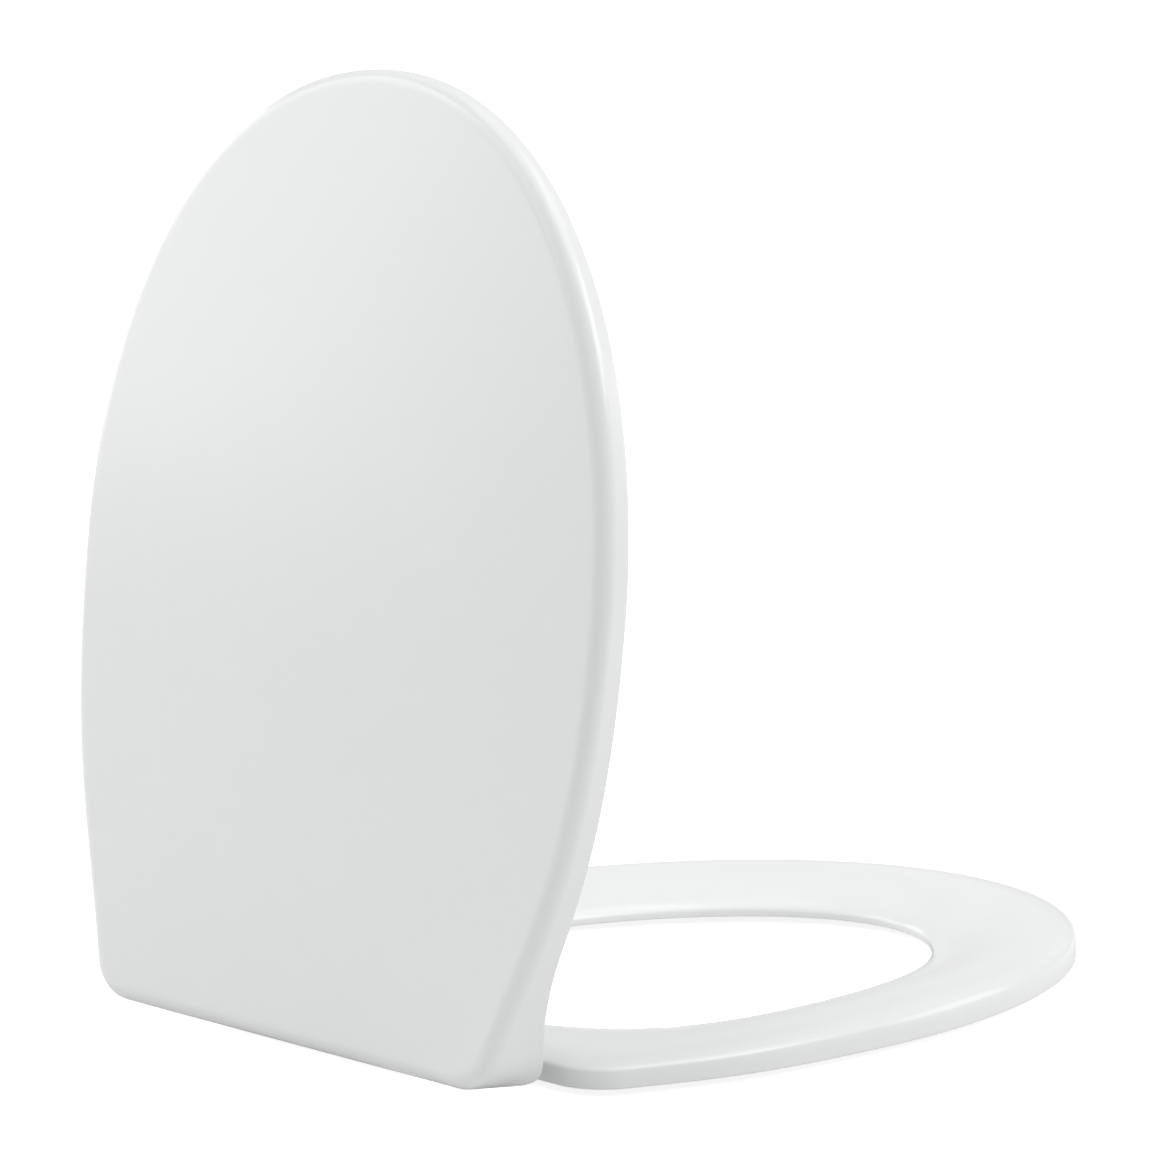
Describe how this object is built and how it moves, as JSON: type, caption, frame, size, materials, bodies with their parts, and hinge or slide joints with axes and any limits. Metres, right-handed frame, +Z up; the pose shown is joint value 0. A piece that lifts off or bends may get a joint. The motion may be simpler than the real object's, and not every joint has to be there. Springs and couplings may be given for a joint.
{
  "type": "toilet seat",
  "caption": "Toilet seat with a contoured ring and a bowed wedge-shaped lid, both swinging on a pin line held by hinge posts that bolt to the bowl.",
  "frame": {"origin": "midway between the two fixing bolts, on the plane of the bowl's top", "axes": "+Z up from the bowl, -Y towards the front of the seat, X along the pin line"},
  "size_m": [0.36, 0.4611, 0.4428],
  "materials": {
    "white_moulding": "glossy moulded white",
    "hinge_plastic": "satin moulded white",
    "pin_steel": "turned stainless steel",
    "bush_plastic": "matt moulded grey",
    "insert_brass": "turned brass",
    "gasket_rubber": "matt soft rubber",
    "buffer_rubber": "matt pale soft plastic"
  },
  "bodies": {
    "hinge_posts": {"foot_gasket_left": "gasket_rubber", "foot_gasket_right": "gasket_rubber", "hinge_pin_left": "pin_steel", "hinge_pin_right": "pin_steel", "hinge_post_left": "hinge_plastic", "hinge_post_right": "hinge_plastic", "post_insert_left": "insert_brass", "post_insert_right": "insert_brass"},
    "ring": {"ring_buffer_front_left": "buffer_rubber", "ring_buffer_front_right": "buffer_rubber", "ring_buffer_rear_left": "buffer_rubber", "ring_buffer_rear_right": "buffer_rubber", "ring_bush_left": "bush_plastic", "ring_bush_right": "bush_plastic", "seat_ring": "white_moulding"},
    "lid": {"lid": "white_moulding", "lid_buffer_left": "buffer_rubber", "lid_buffer_right": "buffer_rubber", "lid_bush_left": "bush_plastic", "lid_bush_right": "bush_plastic"}
  },
  "joints": [
    {"name": "ring_hinge", "type": "hinge", "parent": "hinge_posts", "child": "ring", "pos_m": [0, 0.016, 0.016], "axis": [-1, 0, 0], "range_deg": [0, 95]},
    {"name": "lid_hinge", "type": "hinge", "parent": "ring", "child": "lid", "pos_m": [0, 0.016, 0.016], "axis": [1, 0, 0], "range_deg": [-12.5, 83.5]}
  ]
}
